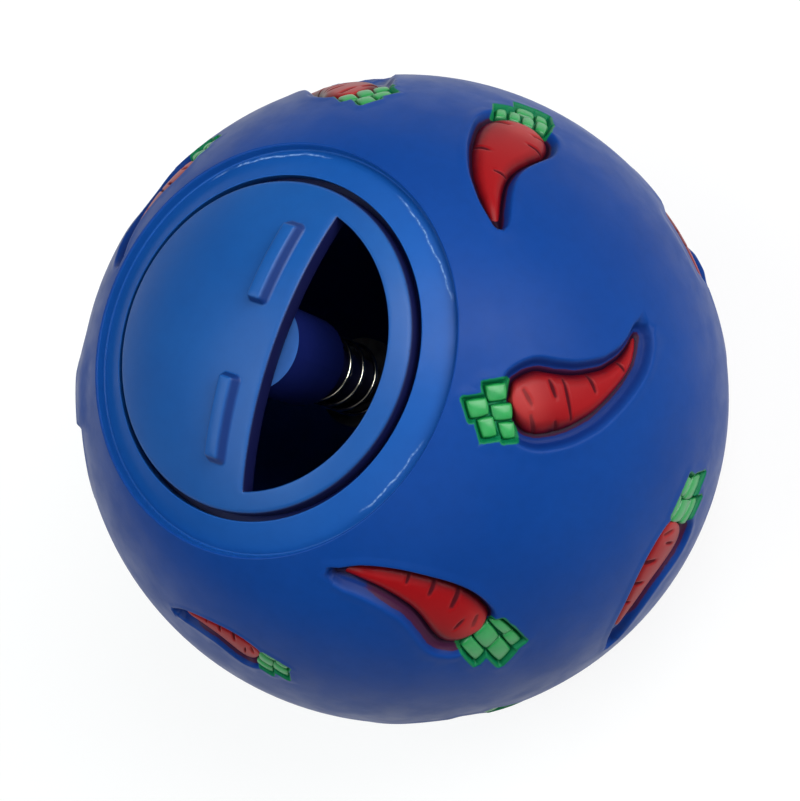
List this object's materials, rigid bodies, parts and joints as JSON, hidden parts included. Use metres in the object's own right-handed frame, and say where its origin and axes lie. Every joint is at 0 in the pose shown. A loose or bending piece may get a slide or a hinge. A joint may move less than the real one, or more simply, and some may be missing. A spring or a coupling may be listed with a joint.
{
  "type": "treat dispensing ball",
  "caption": "Hollow soft ball with painted carrots in relief and a sprung turning dial whose half-moon slot opens or closes the mouth.",
  "frame": {"origin": "lowest point of the ball, under its middle, with the dial on top", "axes": "+Z is the dial's axis, out of the mouth; +X points from the axis to the middle of the half-moon slot"},
  "size_m": [0.07, 0.07, 0.0701],
  "materials": {
    "soft_vinyl": "semi-gloss soft vinyl, deep blue",
    "insert_plastic": "moulded blue plastic",
    "dial_plastic": "semi-gloss moulded blue plastic",
    "spring_steel": "bright drawn wire",
    "plain_steel": "zinc plated",
    "red_paint": "translucent red paint on vinyl",
    "green_paint": "green paint on vinyl"
  },
  "bodies": {
    "ball": {"ball_shell": "soft_vinyl", "mouth_insert": "insert_plastic", "spring": "spring_steel", "carrot_root_01": "red_paint", "carrot_root_02": "red_paint", "carrot_root_03": "red_paint", "carrot_root_04": "red_paint", "carrot_root_05": "red_paint", "carrot_root_06": "red_paint", "carrot_root_07": "red_paint", "carrot_root_08": "red_paint", "carrot_root_09": "red_paint", "carrot_root_10": "red_paint", "carrot_root_11": "red_paint", "carrot_root_12": "red_paint", "carrot_root_13": "red_paint", "carrot_root_14": "red_paint", "carrot_root_15": "red_paint", "carrot_root_16": "red_paint", "carrot_root_17": "red_paint", "carrot_leaves_01": "green_paint", "carrot_leaves_02": "green_paint", "carrot_leaves_03": "green_paint", "carrot_leaves_04": "green_paint", "carrot_leaves_05": "green_paint", "carrot_leaves_06": "green_paint", "carrot_leaves_07": "green_paint", "carrot_leaves_08": "green_paint", "carrot_leaves_09": "green_paint", "carrot_leaves_10": "green_paint", "carrot_leaves_11": "green_paint", "carrot_leaves_12": "green_paint", "carrot_leaves_13": "green_paint", "carrot_leaves_14": "green_paint", "carrot_leaves_15": "green_paint", "carrot_leaves_16": "green_paint", "carrot_leaves_17": "green_paint"},
    "washer": {"thrust_washer": "plain_steel"},
    "dial": {"dial": "dial_plastic", "retaining_screw": "plain_steel"}
  },
  "joints": [
    {"name": "dial_lift", "type": "slide", "parent": "ball", "child": "washer", "axis": [0, 0, 1], "range_m": [0, 0.003], "stiffness_N_per_m": 400, "springref_m": -0.005, "deforming": ["spring"]},
    {"name": "dial_turn", "type": "hinge", "parent": "washer", "child": "dial", "pos_m": [0, 0, 0.0449], "axis": [0, 0, 1], "continuous": true}
  ]
}
